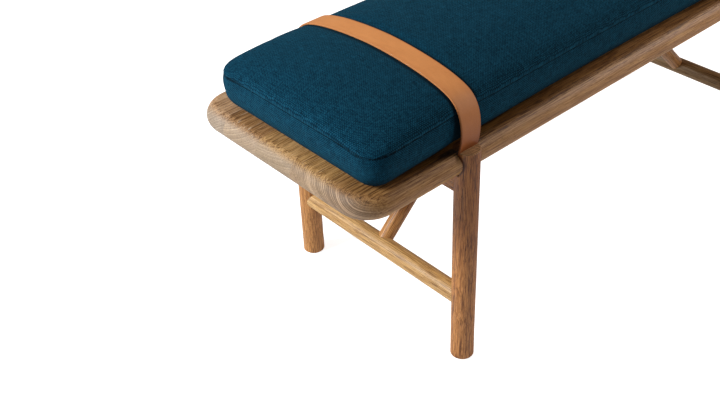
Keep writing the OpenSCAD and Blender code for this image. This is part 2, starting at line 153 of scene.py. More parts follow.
def colour_setting(name, description, default):
    """A colour that a user may change."""
    return bpy.props.FloatVectorProperty(
        name=name, description=description, default=default, subtype="COLOR", min=0, max=1
    )


class BenchSizes(bpy.types.PropertyGroup):
    cushion_crown: length_setting(
        "Cushion crown", "How far the cushion's middle stands over its seam before it is puffed", 43.3, 20, 80
    )
    cushion_puff: length_setting("Cushion puff", "How far the stuffing may push the cloth out", 3.5, 0, 12)
    strap_width: length_setting("Strap width", "Width of the leather straps", 38, 20, 60)
    strap_thickness: length_setting("Strap thickness", "Thickness of the leather", 2.8, 1.5, 5)
    strap_dent: length_setting(
        "Strap dent", "How far a strap presses into the cushion before it is puffed", 0.8, 0, 12
    )
    thread: length_setting("Thread", "Width of one thread of the cushion's cloth", 1.75, 0.4, 3)
    zip_length: length_setting("Zip length", "Length of the zip at the cushion's back", 520, 200, 900)


class BenchColours(bpy.types.PropertyGroup):
    seat_oak: colour_setting("Seat oak", "Middle tone of the seat's oak", shade(175, 132, 81))
    leg_oak: colour_setting("Leg oak", "Middle tone of the legs' oak", shade(175, 115, 58))
    stretcher_oak: colour_setting(
        "Stretcher oak", "Middle tone of the stretchers' oak", shade(189, 147, 89)
    )
    cloth: colour_setting("Cloth", "Colour of the cushion's cloth", shade(4, 51, 72))
    leather: colour_setting("Leather", "Colour of the straps' leather", shade(224, 149, 86))
    floor: colour_setting("Floor", "Colour of the studio floor", (0.9, 0.9, 0.9))


# ---- shader building


def by_maths(operation, turned_round=False):
    """A Python operator of Field, which adds a Math node for what stands on its left and its right."""

    def work(self, *other):
        values = (*other, self) if turned_round else (self, *other)
        return self.maths(operation, *values)

    return work


class Field:
    """A socket of a finish, which Python's operators work on."""

    __add__ = by_maths("ADD")
    __radd__ = by_maths("ADD", True)
    __sub__ = by_maths("SUBTRACT")
    __rsub__ = by_maths("SUBTRACT", True)
    __mul__ = by_maths("MULTIPLY")
    __rmul__ = by_maths("MULTIPLY", True)
    __truediv__ = by_maths("DIVIDE")
    __pow__ = by_maths("POWER")
    __abs__ = by_maths("ABSOLUTE")

    def __init__(self, finish, socket):
        self.finish, self.socket = finish, socket

    def maths(self, operation, *values):
        return self.finish.node("Math", {"operation": operation}, dict(enumerate(values)))

    def rise(self, start, end):
        """0 below start, 1 above end, with an eased slope between."""
        settings = {"interpolation_type": "SMOOTHSTEP"}
        return self.finish.node("MapRange", settings, {"Value": self, "From Min": start, "From Max": end})

    def between(self, rise, fall):
        """1 between two eased slopes, one up and one down, each given as its start and its end."""
        return self.rise(*rise) * (1.0 - self.rise(*fall))


class Finish:
    """One material and the nodes that make it."""

    def __init__(self, name):
        self.material = bpy.data.materials.new(name)
        self.material.use_nodes = True
        self.nodes = self.material.node_tree.nodes
        self.links = self.material.node_tree.links
        self.nodes.clear()

    def node(self, kind, settings, values, output=0):
        """Adds a node of a type, makes its settings first, then its sockets' values or links."""
        made = assign(self.nodes.new("ShaderNode" + kind), **settings)
        for name, value in values.items():
            if isinstance(value, Field):
                self.links.new(value.socket, made.inputs[name])
            else:
                made.inputs[name].default_value = value
        return Field(self, made.outputs[output])

    def place(self):
        """Where on the bench a point is."""
        return self.node("TexCoord", {}, {}, "Object")

    def flat(self):
        """Where on its own flat pattern a point of a sheet is."""
        return self.node("UVMap", {"uv_map": "flat"}, {})

    def part(self, vector, axis):
        return self.node("SeparateXYZ", {}, {0: vector}, axis)

    def vector(self, operation, *values):
        return self.node("VectorMath", {"operation": operation}, dict(enumerate(values)))

    def away(self, place, middle, axes):
        """How far a place is from a middle, along the axes that have a 1."""
        offset = self.vector("MULTIPLY", self.vector("SUBTRACT", place, middle), axes)
        return self.node("VectorMath", {"operation": "LENGTH"}, {0: offset}, "Value")

    def noise(self, vector, scale=1.0, detail=2.0, roughness=0.5, output="Fac"):
        values = {"Vector": vector, "Scale": scale, "Detail": detail, "Roughness": roughness}
        return self.node("TexNoise", {}, values, output)

    def stretched(self, vector, by, detail=2.0, roughness=0.5):
        """Noise with a fineness of its own along each axis."""
        return self.noise(self.vector("MULTIPLY", vector, by), 1.0, detail, roughness)

    def drifted(self, vector, guide, scale, by):
        """A vector that wanders by a slow noise on a guide, so far along each axis."""
        drift = self.vector("SUBTRACT", self.noise(guide, scale, output="Color"), (0.5, 0.5, 0.5))
        return self.vector("ADD", vector, self.vector("MULTIPLY", drift, by))

    def mix(self, factor, first, second, blend="MIX"):
        """Mixes colours: a factor of 0 gives the first and 1 the second."""
        first = (*first, 1) if isinstance(first, tuple) else first
        second = (*second, 1) if isinstance(second, tuple) else second
        settings = {"data_type": "RGBA", "blend_type": blend}
        return self.node("Mix", settings, {0: factor, 6: first, 7: second}, 2)

    # Used for the wood's own tones and for painted light and shade
    def stain(self, where, colour, tint):
        """Multiplies a colour by a tint, where a field is 1."""
        return self.mix(where, colour, tint, "MULTIPLY")

    def ramp(self, factor, stops):
        """A colour that runs through stops, each a place and a colour."""
        ramp = self.node("ValToRGB", {}, {"Fac": factor}, "Color")
        elements = ramp.socket.node.color_ramp.elements
        for place, colour in stops[2:]:
            elements.new(place)
        for element, (place, colour) in zip(elements, stops):
            element.position = place
        for element, (place, colour) in zip(elements, stops):
            element.color = (*colour, 1)
        return ramp

    def surface(self, colour, roughness, height, depth, **constants):
        """The finished surface: what varies goes into colour, roughness and bump, the rest is fixed."""
        bump = self.node("Bump", {}, {"Strength": 1.0, "Distance": depth, "Height": height}, "Normal")
        values = {"Base Color": colour, "Roughness": roughness, "Normal": bump}
        values.update({name.replace("_", " "): value for name, value in constants.items()})
        self.show(self.node("BsdfPrincipled", {}, values))
        return self.material

    def show(self, shader):
        output = self.nodes.new("ShaderNodeOutputMaterial")
        self.links.new(shader.socket, output.inputs["Surface"])


def darker(colour, by):
    return tuple(c * by for c in colour[:3])


def toned(colour, by):
    """A colour with each of its three values times its own number, and none over 1."""
    return tuple(min(1, c * b) for c, b in zip(colour, by))


# ---- the wood


def oak(
    name,
    middle,
    pith,
    grain,
    ring,
    seed,
    contrast=1.0,
    pores=1.0,
    flame=0.4,
    sway_by=0.004,
    lines=0.6,
    arcs_by=1.0,
    cut_by=(0.95, 1.35, 2.2),
    heart=None,
    dashes=0.15,
    calm=1.0,
    stains=(),
):
    """Solid oak, with rings, end-grain arcs, streaks and pores that run on from face to face, as in one log.
    pith is a point on the tree's middle line, grain the turn that lays X along the fibres, and ring the
    width of a year's growth in millimetres. seed sets one piece of wood apart from another."""
    make = Finish(name)
    place = make.place()
    settings = {"vector_type": "TEXTURE"}
    local = make.node("Mapping", settings, {"Vector": place, "Location": pith, "Rotation": grain})
    shifted = make.vector("ADD", local, (seed, seed * 0.7, seed * 1.3))
    guide = make.vector("MULTIPLY", shifted, (9.0, 14.0, 14.0))
    shifted = make.drifted(shifted, guide, 1.0, (0.0, sway_by, sway_by))

    def fibres(along, across, detail=2.0, roughness=0.6):
        """Noise drawn out along the grain, with its fineness along and across it."""
        return make.stretched(shifted, (along, across, across), detail, roughness)

    # Growth rings round the pith, each with a pale early band and a dark edge
    guide = make.vector("MULTIPLY", shifted, (2.0, 9.0, 9.0))
    bent = make.drifted(local, guide, 1.0, (0.0, 0.007, 0.007))
    radius = make.away(bent, (0, 0, 0), (0, 1, 1))
    rings = radius / (ring * MM) + (fibres(9.0, 60.0, roughness=0.5) - 0.5) * 0.35
    uneven = make.node("TexNoise", {"noise_dimensions": "1D"}, {"W": rings * 0.35, "Detail": 1.0}, "Fac")
    rings = rings + 0.9 * uneven
    cycle = rings.maths("FRACT", rings)
    count = rings.maths("FLOOR", rings)
    year = make.node("TexWhiteNoise", {"noise_dimensions": "1D"}, {"W": count + seed}, "Value")
    strong = 0.55 + 0.45 * year.rise(0.25, 0.75)
    pale = cycle.between((0.0, 0.08), (0.12, 0.40)) * strong
    dark = cycle.between((0.60, 0.90), (0.95, 1.0))

    # Faces that cut across the fibres, and faces that look along the bench's depth
    normal = make.node("TexCoord", {}, {}, "Normal")
    lengthwise = tuple(Euler(grain).to_matrix() @ Vector((1, 0, 0)))
    facing = make.node("VectorMath", {"operation": "DOT_PRODUCT"}, {0: normal, 1: lengthwise}, "Value")
    end = abs(facing).rise(0.26, 0.88)
    beside = abs(make.part(normal, "Y")).rise(0.35, 0.85)

    # Along the grain: fibres, streaks and open pores
    hairs = fibres(60.0, 2000.0, 1.0, 0.5) - 0.5
    fine = fibres(16.0, 720.0) - 0.5
    streaks = fibres(5.0, 250.0) - 0.5
    clouds = fibres(3.0, 42.0, roughness=0.5) - 0.5
    broken = fibres(16.0, 190.0).rise(0.36, 0.64)
    flames = fibres(9.0, 190.0, 3.0, 0.7).rise(0.55, 0.70)
    flecks = fibres(26.0, 560.0).rise(0.60, 0.72)
    pore = fibres(170.0, 1500.0, 1.0, 0.4).rise(0.58, 0.68) * (0.35 + 0.65 * dark) * pores
    tone = 0.56 + fine * 2.9 + streaks * 0.2 + clouds * 0.25 + hairs * 1.4 + (year - 0.5) * 0.2
    tone = tone + (pale * broken * 0.36 - dark * 0.15 + flecks * 0.22) * lines - flames * 0.24 * flame
    tone = 0.55 + (tone - 0.55) * (contrast - beside * (contrast * (1.0 - calm)))
    stops = [
        (0.08, toned(middle, (0.30, 0.23, 0.16))),
        (0.34, toned(middle, (0.68, 0.61, 0.52))),
        (0.58, middle),
        (0.90, toned(middle, (1.36, 1.50, 1.80))),
    ]
    colour = make.ramp(tone, stops)
    dash = fibres(20.0, 400.0).rise(0.59, 0.67) * dashes * (1.0 - beside)
    colour = make.mix(dash, colour, (0.60, 0.47, 0.34))

    # Across the grain: the rings as arcs, rays from the pith and the mouths of the pores
    angle = rings.maths("ARCTAN2", make.part(bent, "Y"), make.part(bent, "Z"))
    fan = make.node("CombineXYZ", {}, {"X": angle * 60.0, "Y": radius * 30.0, "Z": seed})
    rays = make.noise(fan, roughness=0.6) - 0.5
    grit = make.noise(shifted, 900.0) - 0.5
    blotches = make.noise(shifted, 60.0) - 0.5
    arcs = 0.24 + (pale * (1.0 + blotches * 1.4) - dark * 0.18) * arcs_by + (year - 0.5) * 0.10
    arcs = arcs + rays * (0.1 + 0.4 * arcs_by) + grit * 0.9 + blotches * (0.2 + 0.2 * arcs_by)
    cut = toned(middle, cut_by)
    end_colour = make.mix(arcs.rise(0.0, 1.0), darker(cut, 0.60), toned(cut, (1.8, 1.95, 2.15)))
    if heart:
        core = 1.0 - make.away(bent, HEART_AT, (0, 1, 1)).rise(0.022, 0.058)
        colour = make.stain(core, colour, heart)
        end_colour = make.stain(core, end_colour, tuple(0.45 + 0.55 * c for c in heart))
    colour = make.mix(end * 0.92, colour, end_colour)
    # Painted light and shade, laid over the wood's own colour
    for stain in stains:
        colour = stain(make, place, 1.0 - end, colour)
    colour = make.mix(pore * 0.8 * (1.0 - end * 0.7), colour, darker(middle, 0.20))
    roughness = 0.44 + pore * 0.25 + end * 0.16 + fine * 0.15
    height = 0.5 + fine * 0.5 + hairs * 0.3 - dark * 0.25 - pore * 0.6
    return make.surface(colour, roughness, height, 0.00020, Specular_IOR_Level=0.42)


def painted_shade_higher_up(tint, low, high):
    """Painted shade on the wood's sides that comes in between two heights."""

    def stain(make, place, sides, colour):
        return make.stain(make.part(place, "Z").rise(low, high) * sides, colour, tint)

    return stain


def by_board(make, place, sides, colour):
    """The shade on a leg where the board's round edge meets it."""
    gap = make.away(make.vector("ABSOLUTE", place), EDGE_AT, (0, 1, 1))
    return make.stain((1.0 - gap.rise(0.0205, 0.0238)) * sides, colour, (0.36, 0.26, 0.20))


def by_leg(make, place, sides, colour):
    """The shade in the board's notches, round each leg's lap."""
    gap = make.away(make.vector("ABSOLUTE", place), (LEG_X, LEG_Y, 0), (1, 1, 0))
    return make.stain(1.0 - gap.rise(0.0206, 0.0222), colour, (0.42, 0.30, 0.24))


def by_cushion(make, place, sides, colour):
    """Painted shade that cushion and straps lay on the front stave, a painted highlight on the board's
    rounded edge, and painted shade on its front face.
    """
    front = make.part(place, "Y") * -1.0
    out = abs(make.part(place, "X"))
    up = make.part(place, "Z")
    on_top = up.rise(0.386, 0.392)
    foot = (1.0 - front.rise(0.177, 0.187)) * out.between((0.0, 0.36), (0.50, 0.585))
    colour = make.stain(foot * on_top, colour, (0.52, 0.47, 0.27))
    nook = front.between((0.171, 0.175), (0.180, 0.186)) * out.between((0.437, 0.441), (0.458, 0.482))
    colour = make.stain(nook * on_top, colour, (0.12, 0.08, 0.10))
    gleam = front.between((0.1895, 0.1940), (0.1955, 0.1970)) * (1.0 - out.rise(0.20, 0.45))
    colour = make.stain(gleam * up.rise(0.378, 0.382), colour, (1.12, 1.17, 1.32))
    # Painted shade on the board's front face
    return make.stain(front.rise(0.1955, 0.1972), colour, (0.92, 0.89, 0.93))


# ---- cloth, leather, foam and steel


def yarn(name, colour):
    """Twisted sewing thread."""
    make = Finish(name)
    twist = make.stretched(make.place(), (2600.0, 900.0, 900.0), 1.0)
    dyed = make.mix(twist, darker(colour, 0.6), darker(colour, 1.25))
    return make.surface(dyed, 0.7 + twist * 0.1, twist, 0.0001, Specular_IOR_Level=0.2)


def cloth(name, colour, thread, sewn=True):
    """Plain-woven linen-like cloth, laid by its flat pattern, with threads uneven in thickness and dye."""
    make = Finish(name)
    flat = make.flat()
    counted = make.vector("MULTIPLY", flat, (1 / thread, 1 / thread, 0))
    counted = make.drifted(counted, flat, 60.0, (1.6, 1.6, 0))
    along, across = (make.part(counted, axis) * math.pi for axis in "XY")
    crossing = along.maths("SINE", along) * across.maths("SINE", across)
    over = crossing.rise(-0.12, 0.12)
    warp = make.stretched(counted, (0.80, 0.10, 1.0), roughness=0.7) - 0.5
    weft = make.stretched(counted, (0.10, 0.80, 1.0), roughness=0.7) - 0.5
    upper = weft + (warp - weft) * over
    neps = make.stretched(counted, (0.62, 0.62, 1.0), roughness=0.8) - 0.5
    patches = make.noise(flat, 9.0, 3.0, 0.55) - 0.5
    depth = abs(crossing) ** 0.5
    tone = 0.495 + (warp + weft) * 0.85 + upper * 0.8 + neps * 0.7 + patches * 0.15
    tone = tone + (depth - 0.6) * 0.85 + (over - 0.5) * 0.5
    stops = [
        (0.08, darker(colour, 0.30)),
        (0.38, darker(colour, 0.72)),
        (0.62, toned(colour, (1.2, 1.2, 1.18))),
        (0.95, (colour[0] * 2.6 + 0.005, colour[1] * 2.25, colour[2] * 1.95)),
    ]
    dyed = make.ramp(tone, stops)
    # Painted shade at the cushion's foot and in a line along each strap
    place = make.place()
    low = make.part(place, "Z").rise(0.405, 0.430)
    strap_shade_mask = abs(abs(make.part(place, "X")) - STRAP_X).rise(0.0212, 0.0275)
    dyed = make.mix(low * strap_shade_mask, darker(colour, 0.22), dyed)
    height = depth * 0.7 + (warp + weft + neps) * 1.2
    if sewn:
        from_seam = make.node("Attribute", {"attribute_name": "seam"}, {}, "Fac")
        # Painted shade along the seam's groove, uneven along its length
        line = 1.0 - abs(from_seam).rise(0.0004, 0.0011)
        gaps = make.noise(flat, 300.0, 1.0).rise(0.40, 0.55)
        dyed = make.mix(line * (0.45 + gaps * 0.50), dyed, darker(colour, 0.12))
        height = height - line * 0.5
    sheen = {"Sheen_Weight": 0.07, "Sheen_Roughness": 0.4, "Sheen_Tint": (0.15, 0.6, 0.85, 1)}
    return make.surface(dyed, 0.92 - depth * 0.06, height, 0.0005, Specular_IOR_Level=0.05, **sheen)


def leather(name, colour, half_width):
    """Smooth vegetable-tanned leather: even and waxy in the middle, darker by its cut edges, with painted
    shade low down.
    """
    make = Finish(name)
    flat = make.flat()
    side = abs(make.part(flat, "X"))
    edge = side.rise(half_width - 0.0022, half_width - 0.0002)
    shoulder = side.rise(half_width - 0.007, half_width - 0.001)
    clouds = make.stretched(flat, (30.0, 12.0, 1.0), 3.0, 0.55) - 0.5
    veins = make.stretched(flat, (160.0, 60.0, 1.0), 4.0, 0.65) - 0.5
    crease = make.stretched(flat, (40.0, 420.0, 1.0), 3.0, 0.6)
    values = {"Vector": flat, "Scale": 900.0}
    grain = make.node("TexVoronoi", {"feature": "DISTANCE_TO_EDGE"}, values, "Distance")
    stops = [
        (0.10, toned(colour, (0.76, 0.68, 0.60))),
        (0.45, toned(colour, (0.96, 0.94, 0.91))),
        (0.90, toned(colour, (1.10, 1.14, 1.18))),
    ]
    tanned = make.ramp(0.5 + clouds * 0.8 + veins * 0.5 + (crease - 0.5) * 0.15, stops)
    tanned = make.mix(shoulder * 0.25, tanned, toned(colour, (0.80, 0.70, 0.60)))
    tanned = make.mix(edge * 0.80, tanned, toned(colour, (0.66, 0.62, 0.60)))
    tanned = make.mix((1.0 - grain.rise(0.02, 0.16)) * 0.10, tanned, darker(colour, 0.45))
    # Painted shade on the strap's lower parts, deeper further down
    low = 1.0 - make.part(make.place(), "Z").rise(0.400, 0.502)
    tanned = make.stain(low, tanned, (0.42, 0.285, 0.12))
    roughness = 0.50 + veins * 0.25 + edge * 0.2 - clouds * 0.12
    height = grain.rise(0.0, 0.2) * 0.35 + crease * 0.5 + veins * 0.4
    return make.surface(tanned, roughness, height, 0.00012, Specular_IOR_Level=0.45, Coat_Weight=0.06)


def foam_finish(name):
    """Cut open-cell foam."""
    make = Finish(name)
    place = make.place()
    cells = make.node("TexVoronoi", {}, {"Vector": place, "Scale": 900.0}, "Distance")
    tone = cells.rise(0.0, 0.7) * 0.6 + make.noise(place, 14.0, 3.0) * 0.4
    dyed = make.mix(tone, darker(FOAM_COLOUR, 0.55), FOAM_COLOUR)
    return make.surface(dyed, 0.9 + cells * 0.08, cells, 0.0005, Specular_IOR_Level=0.2)


def zinc(name):
    """Zinc-plated steel with fine turning lines and a dulled bloom."""
    make = Finish(name)
    place = make.place()
    bloom = make.noise(place, 420.0, 3.0, 0.6)
    lines = make.stretched(place, (3000.0, 3000.0, 600.0))
    grey = make.mix(bloom, (0.46, 0.47, 0.48), (0.72, 0.73, 0.74))
    return make.surface(grey, 0.26 + bloom * 0.22, lines, 0.00003, Metallic=0.95)


# ---- meshes


def alone(piece=None):
    """Leaves only this piece selected and active."""
    if bpy.context.object and bpy.context.object.mode != "OBJECT":
        bpy.ops.object.mode_set(mode="OBJECT")
    bpy.ops.object.select_all(action="DESELECT")
    if piece is not None:
        piece.select_set(True)
        bpy.context.view_layer.objects.active = piece


def pick(piece, kind, test):
    """In edit mode, selects the faces or edges that pass a test of their middle and normal or direction."""
    bpy.ops.object.mode_set(mode="EDIT")
    bpy.ops.mesh.select_mode(type=kind)
    bpy.ops.mesh.select_all(action="DESELECT")
    bpy.ops.object.mode_set(mode="OBJECT")
    mesh = piece.data
    if kind == "FACE":
        for face in mesh.polygons:
            face.select = bool(test(face.center, face.normal))
    else:
        for edge in mesh.edges:
            a, b = (mesh.vertices[i].co for i in edge.vertices)
            edge.select = bool(test((a + b) / 2, (b - a).normalized()))
    bpy.ops.object.mode_set(mode="EDIT")


def leave_edit():
    bpy.ops.object.mode_set(mode="OBJECT")


def edit_whole(piece):
    """In edit mode, selects all of a piece by its vertices."""
    alone(piece)
    bpy.ops.object.mode_set(mode="EDIT")
    bpy.ops.mesh.select_mode(type="VERT")
    bpy.ops.mesh.select_all(action="SELECT")


def face_outwards():
    """Turns all faces of the piece in edit mode outwards, and leaves that mode."""
    bpy.ops.mesh.select_all(action="SELECT")
    bpy.ops.mesh.normals_make_consistent(inside=False)
    leave_edit()


def named(name):
    """The piece that a primitive operator has just made, under its own name."""
    piece = bpy.context.object
    piece.name = piece.data.name = name
    return piece


def linked(name, data):
    """A new object of the scene."""
    made = bpy.data.objects.new(name, data)
    bpy.context.scene.collection.objects.link(made)
    return made


def settle(piece):
    """Puts a piece's place, turn and size into its mesh."""
    alone(piece)
    bpy.ops.object.transform_apply(location=True, rotation=True, scale=True)


def finish_piece(piece, material, replaced=()):
    """Gives a piece its material and its body, and hides the CAD nodes that it stands for."""
    piece.data.materials.clear()
    piece.data.materials.append(material)
    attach(piece, BODY)
    if replaced:
        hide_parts(*replaced)


def add_modifier(piece, kind, **settings):
    return assign(piece.modifiers.new(kind.title(), kind), **settings)


def apply_all(piece):
    alone(piece)
    for modifier in list(piece.modifiers):
        bpy.ops.object.modifier_apply(modifier=modifier.name)


def smooth_by_angle(piece, degrees):
    alone(piece)
    bpy.ops.object.shade_smooth_by_angle(angle=math.radians(degrees))


def join(piece, other):
    alone(piece)
    other.select_set(True)
    bpy.ops.object.join()


# ---- the cushion's form, in metres about the middle of its base


def crown(u):
    return max(0.0, 1 - abs(u) ** CROWN_FLAT) ** (1 / CROWN_FULL)


def end_fall(x):
    return crown(max(0.0, abs(x) - HALF_LENGTH + END_RISE) / END_RISE)


def pinch(x, half_strap):
    """1 under a strap, a quick rise by its edge, then a slow one to 0."""
    past = abs(abs(x) - STRAP_X) - half_strap - STRAP_GAP
    slow, quick = (max(0.0, min(1.0, past / run)) for run in (DENT_RUN, STRAP_EDGE_RUN))
    return 0.7 * (1 + math.cos(math.pi * slow)) / 2 + 0.3 * (1 + math.cos(math.pi * quick)) / 2


def waist_at(x, sizes):
    return WAIST * (1 - (x / HALF_LENGTH) ** 2) + SIDE_DENT * pinch(x, sizes.strap_width / 2)


def side_at(x, out, sizes):
    """Half the cushion's width at x, for a ring that lies out beyond the seam."""
    r = max(1 * MM, CORNER + out)
    turn = min(r, max(0.0, abs(x) - (HALF_LENGTH + out - r)))
    return HALF_WIDTH + out - r + math.sqrt(r * r - turn * turn) - waist_at(x, sizes)


def plan(x, y, out, sizes):
    """Moves a point of the plain rectangle to its place in the rounded, drawn-in outline."""
    long, wide = HALF_LENGTH + out, HALF_WIDTH + out
    r = max(1 * MM, CORNER + out)
    px, py = abs(x) / HALF_LENGTH * long, abs(y) / HALF_WIDTH * wide
    a, b = (px - long + r) / r, (py - wide + r) / r
    if a > 0 and b > 0:
        px = long - r + r * a * math.sqrt(max(0.0, 1 - b * b / 2))
        py = wide - r + r * b * math.sqrt(max(0.0, 1 - a * a / 2))
    py *= 1 - waist_at(px, sizes) / wide
    return math.copysign(px, x), math.copysign(py, y)


def lowered(x, y, z, sizes):
    """The height of a point after the corners have sunk."""
    across = min(1.0, abs(y) / side_at(min(abs(x), HALF_LENGTH), 0, sizes))
    along = min(1, abs(x) / HALF_LENGTH)
    return z - CORNER_DROP * along**8 * across**4 * min(1.0, z / SEAM_HEIGHT)


def top_height(x, y, sizes):
    across = min(1.0, abs(y) / side_at(x, 0, sizes))
    full = sizes.cushion_crown * end_fall(x) - sizes.strap_dent * pinch(x, sizes.strap_width / 2)
    return SEAM_HEIGHT + full * crown(across)


def stations(half, step, extra=()):
    """Places from -half to half: a few millimetres of cloth apart by the rim, which is steep, and a step
    in the middle. extra are further places, which others make room for."""
    rises = (0, 0.9, 1.9, 3.2, 5, 7.5, 10.5, 14, 17.5, 21, 25, 29)
    rim = [(rise * MM / FULL_CROWN) ** CROWN_FULL * HALF_WIDTH / CROWN_FLAT for rise in rises]
    inner = half - rim[-1]
    count = max(2, round(inner / step))
    side = [half - r for r in rim] + [inner * (1 - k / count) for k in range(1, count)]
    side = [s for s in side if all(abs(s - e) > 3 * MM for e in extra)] + list(extra)
    side.sort(reverse=True)
    return [-s for s in side] + [0.0] + side[::-1]


def side_profile():
    """(out, height) of each ring from the seam down: the seam, the swell and the rolled-in edge."""
    rows = [(0.0, SEAM_HEIGHT - drop * MM) for drop in (0.0, 0.6, 1.6, 3.2)]
    for z in (53 * MM, 48.5 * MM, 43.5 * MM, 38 * MM):
        rows.append((SWELL * math.sin(math.pi * (z - ROLL_UP) / (SEAM_HEIGHT - ROLL_UP)), z))
    for a in (math.radians(degrees) for degrees in range(90, -1, -10)):
        rows.append((-ROLL_IN * (1 - math.sin(a)), ROLL_UP * (1 - math.cos(a))))
    return rows


def cushion_mesh(name, sizes, shrink=0.0, step=8.5 * MM):
    """A closed cushion form of quads with its flat pattern, in a new object that stands on the seat."""
    edge = sizes.strap_width / 2
    beside = [STRAP_X + side * (edge + d * MM) for side in (-1, 1) for d in (-3, 0.2, 1.6, 3.2, 5.5, 9, 14)]
    xs, ys = stations(HALF_LENGTH, step, beside if shrink == 0 else ()), stations(HALF_WIDTH, step)
    nx, ny = len(xs), len(ys)
    points, seam = [], []

    def place(x, y, z):
        points.append((x, y + CUSHION_Y, SEAT_TOP + z))
        return len(points) - 1

    def squeezed(z):
        return shrink + z * (1 - 2 * shrink / (SEAM_HEIGHT + sizes.cushion_crown))

    top, base = {}, {}
    for i, x in enumerate(xs):
        for j, y in enumerate(ys):
            px, py = plan(x, y, -shrink, sizes)
            z = lowered(px, py, top_height(px, py, sizes), sizes)
            top[i, j] = place(px, py, squeezed(z))
            inward = min(HALF_LENGTH - abs(x), HALF_WIDTH - abs(y))
            seam.append(max(inward, points[-1][2] - SEAT_TOP - SEAM_HEIGHT))
    rim = [(i, 0) for i in range(nx)] + [(nx - 1, j) for j in range(1, ny)]
    rim += [(i, ny - 1) for i in range(nx - 2, -1, -1)] + [(0, j) for j in range(ny - 2, 0, -1)]
    rings = [[top[at] for at in rim]]
    profile = side_profile()
    for out, z in profile[1:-1]:
        ring = []
        for i, j in rim:
            px, py = plan(xs[i], ys[j], out - shrink, sizes)
            ring.append(place(px, py, squeezed(lowered(px, py, z, sizes))))
            seam.append(z - SEAM_HEIGHT)
        rings.append(ring)
    for i, x in enumerate(xs):
        for j, y in enumerate(ys):
            px, py = plan(x, y, profile[-1][0] - shrink, sizes)
            base[i, j] = place(px, py, squeezed(BASE_LIFT))
            seam.append(-SEAM_HEIGHT)
    rings.append([base[at] for at in rim])
    # The flat pattern has the top at its middle, the base 1 m above it and the side band from 2 m on
    faces, flat = [], []
    for i in range(nx - 1):
        for j in range(ny - 1):
            square = [(i, j), (i + 1, j), (i + 1, j + 1), (i, j + 1)]
            faces.append([top[at] for at in square])
            flat.append([(xs[a], ys[b]) for a, b in square])
            faces.append([base[at] for at in reversed(square)])
            flat.append([(xs[a], ys[b] + 1) for a, b in reversed(square)])
    around = [0.0]
    for (i, j), (k, m) in zip(rim, rim[1:] + rim[:1]):
        around.append(around[-1] + math.hypot(xs[k] - xs[i], ys[m] - ys[j]))
    count = len(rim)
    for row in range(len(rings) - 1):
        upper, lower = rings[row], rings[row + 1]
        high, low = 2 + profile[row][1], 2 + profile[row + 1][1]
        for k in range(count):
            n = (k + 1) % count
            faces.append([lower[k], lower[n], upper[n], upper[k]])
            left, right = around[k], around[k + 1]
            flat.append([(left, low), (right, low), (right, high), (left, high)])
    mesh = bpy.data.meshes.new(name)
    mesh.from_pydata(points, [], faces)
    layer = mesh.uv_layers.new(name="flat")
    for face, corners in zip(mesh.polygons, flat):
        for loop, corner in zip(face.loop_indices, corners):
            layer.data[loop].uv = corner
    mesh.attributes.new("seam", "FLOAT", "POINT").data.foreach_set("value", seam)
    piece = linked(name, mesh)
    alone(piece)
    bpy.ops.object.shade_smooth()
    return piece


def fade(past, run):
    """1 up to a line, and down to 0 at a run past it."""
    return 1 - min(1.0, max(0.0, past / run))


def puff(piece, sizes):
    """Blows the cover up over its stuffing with a short cloth simulation, held at its seam, base, straps
    and zip."""
    mesh = piece.data
    start = [v.co.copy() for v in mesh.vertices]
    normals = [v.normal.copy() for v in mesh.vertices]
    seam = [d.value for d in mesh.attributes["seam"].data]
    held = piece.vertex_groups.new(name="held")
    for index, (point, away) in enumerate(zip(start, seam)):
        strap = fade(abs(abs(point.x) - STRAP_X) - sizes.strap_width / 2 - STRAP_GAP, 9 * MM)
        rim = fade(abs(away) - 2 * MM, 16 * MM)
        low = 1.0 if point.z - SEAT_TOP < 16 * MM else 0.0
        along = abs(point.x) - sizes.zip_length / 2
        beside = max(along, abs(point.z - ZIP_Z) - ZIP_WIDTH / 2) if point.y > 0 else 1.0
        zipped = fade(beside - 2 * MM, 8 * MM)
        held.add([index], max(strap, rim, low, zipped), "REPLACE")
    alone(piece)
    settings = assign(
        add_modifier(piece, "CLOTH").settings,
        quality=6,
        mass=0.3,
        tension_stiffness=18,
        compression_stiffness=12,
        shear_stiffness=8,
        bending_stiffness=2.2,
        shrink_min=-0.002,
        use_pressure=True,
        uniform_pressure_force=4,
        vertex_group_mass="held",
        pin_stiffness=4,
    )
    settings.effector_weights.gravity = 0
    scene = bpy.context.scene
    for tick in range(1, PUFF_FRAMES + 1):
        scene.frame_set(tick)
    blown = piece.evaluated_get(bpy.context.evaluated_depsgraph_get())
    moved = [v.co.copy() for v in blown.data.vertices]
    piece.modifiers.clear()
    scene.frame_set(1)
    for point, old, new, out in zip(mesh.vertices, start, moved, normals):
        step = new - old
        step -= out * min(0.0, step.dot(out) + 0.6 * MM)
        if step.length > sizes.cushion_puff:
            step *= sizes.cushion_puff / step.length
        point.co = old + step
    piece.vertex_groups.remove(held)
    mesh.update()


def sew(piece):
    """Draws the cloth in along the seam, with a small pucker from stitch to stitch."""
    mesh = piece.data
    seam = [d.value for d in mesh.attributes["seam"].data]
    moves = {}
    for point, away in zip(mesh.vertices, seam):
        near = abs(away) / SEAM_REACH
        if near < 1:
            run = (point.co.x + point.co.y) * 2 * math.pi
            pull = (1 + math.cos(math.pi * near)) / 2
            pucker = 0.25 * math.sin(run / PUCKERS[0]) + 0.2 * math.sin(run / PUCKERS[1])
            moves[point.index] = -point.normal * (SEAM_DEPTH + pucker) * MM * pull
    for index, step in moves.items():
        mesh.vertices[index].co += step
    mesh.update()


# ---- the strap's line


